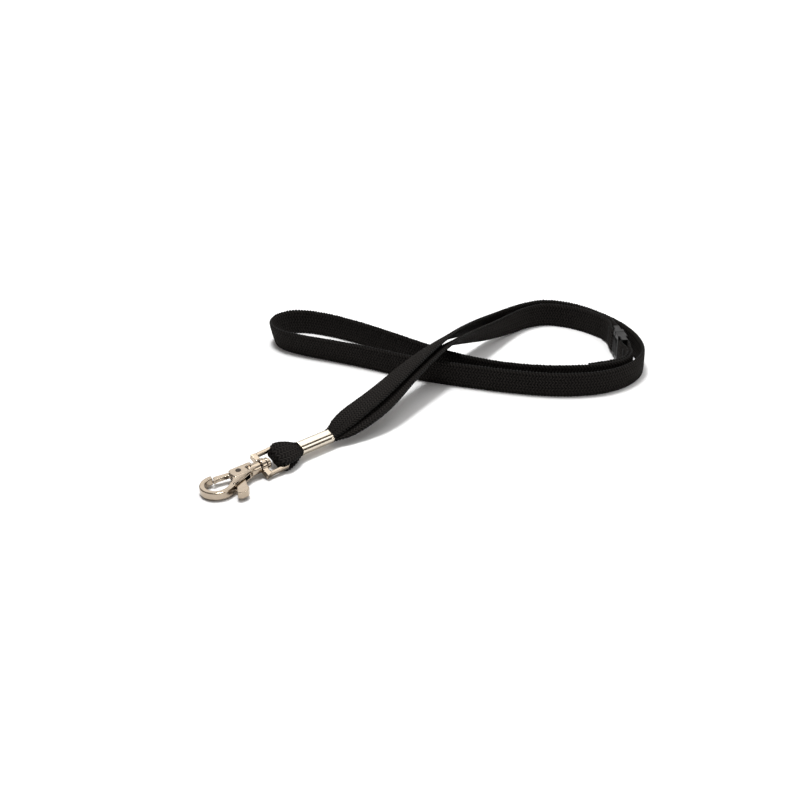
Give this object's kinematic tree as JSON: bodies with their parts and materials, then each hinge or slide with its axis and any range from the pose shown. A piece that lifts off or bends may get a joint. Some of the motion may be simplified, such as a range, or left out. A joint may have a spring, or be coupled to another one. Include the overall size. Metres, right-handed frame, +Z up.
{
  "type": "neck lanyard",
  "caption": "Flat black webbing neck lanyard lying in a crossed loop, with a metal ferrule, swivel ring, trigger snap hook and a breakaway clasp",
  "frame": {"origin": "on the surface that the lanyard lies on, under the middle of the metal fittings' bounding box", "axes": "+X runs along the fittings from the hook's claw to the crimp, +Z is up"},
  "size_m": [0.2139, 0.1363, 0.0196],
  "materials": {
    "webbing": "black polyester tubular webbing, fine plait",
    "thread": "black polyester thread, bar tack",
    "fittings": "nickel-plated die-cast zinc, satin bright",
    "crimp_sheet": "nickel-plated rolled steel sheet",
    "spring_steel": "spring wire",
    "clasp_plastic": "moulded black acetal, fine texture"
  },
  "bodies": {
    "root": {"ferrule_crimp": "crimp_sheet", "strap_ring_loop": "webbing", "strap_upper_strand": "webbing", "strap_lower_strand": "webbing", "strap_right_outer": "webbing", "strap_left_loop": "webbing", "strap_right_inner": "webbing", "strap_socket_bend": "webbing", "strap_inner_back": "webbing", "strap_plug_bend": "webbing", "strap_fold_socket": "webbing", "bar_tack_socket": "thread", "clasp_socket": "clasp_plastic"},
    "ring": {"swivel_ring": "fittings"},
    "hook": {"hook_body": "fittings", "swivel_rivet": "fittings", "trigger_pin": "fittings", "trigger_spring": "spring_steel"},
    "trigger": {"trigger": "fittings"},
    "plug": {"clasp_plug": "clasp_plastic", "strap_fold_plug": "webbing", "bar_tack_plug": "thread"}
  },
  "joints": [
    {"name": "ring_swing", "type": "hinge", "parent": "root", "child": "ring", "pos_m": [0.005, 0.0019, 0.004], "axis": [0, 0.9135, 0.4067], "range_deg": [-110, 110]},
    {"name": "hook_swivel", "type": "hinge", "parent": "ring", "child": "hook", "pos_m": [-0.00437, 0.00219, 0.00334], "axis": [0.9971, -0.0312, 0.0701], "continuous": true},
    {"name": "trigger_pull", "type": "hinge", "parent": "hook", "child": "trigger", "pos_m": [-0.01221, 0.00384, 0.00279], "axis": [-0.0701, 0.0022, 0.9975], "range_deg": [0, 25], "stiffness_Nm_per_rad": 0.006, "springref_deg": -20.05},
    {"name": "clasp_release", "type": "slide", "parent": "root", "child": "plug", "axis": [0.5736, 0.8192, 0], "range_m": [0, 0.004], "deforming": ["strap_plug_bend"]}
  ]
}
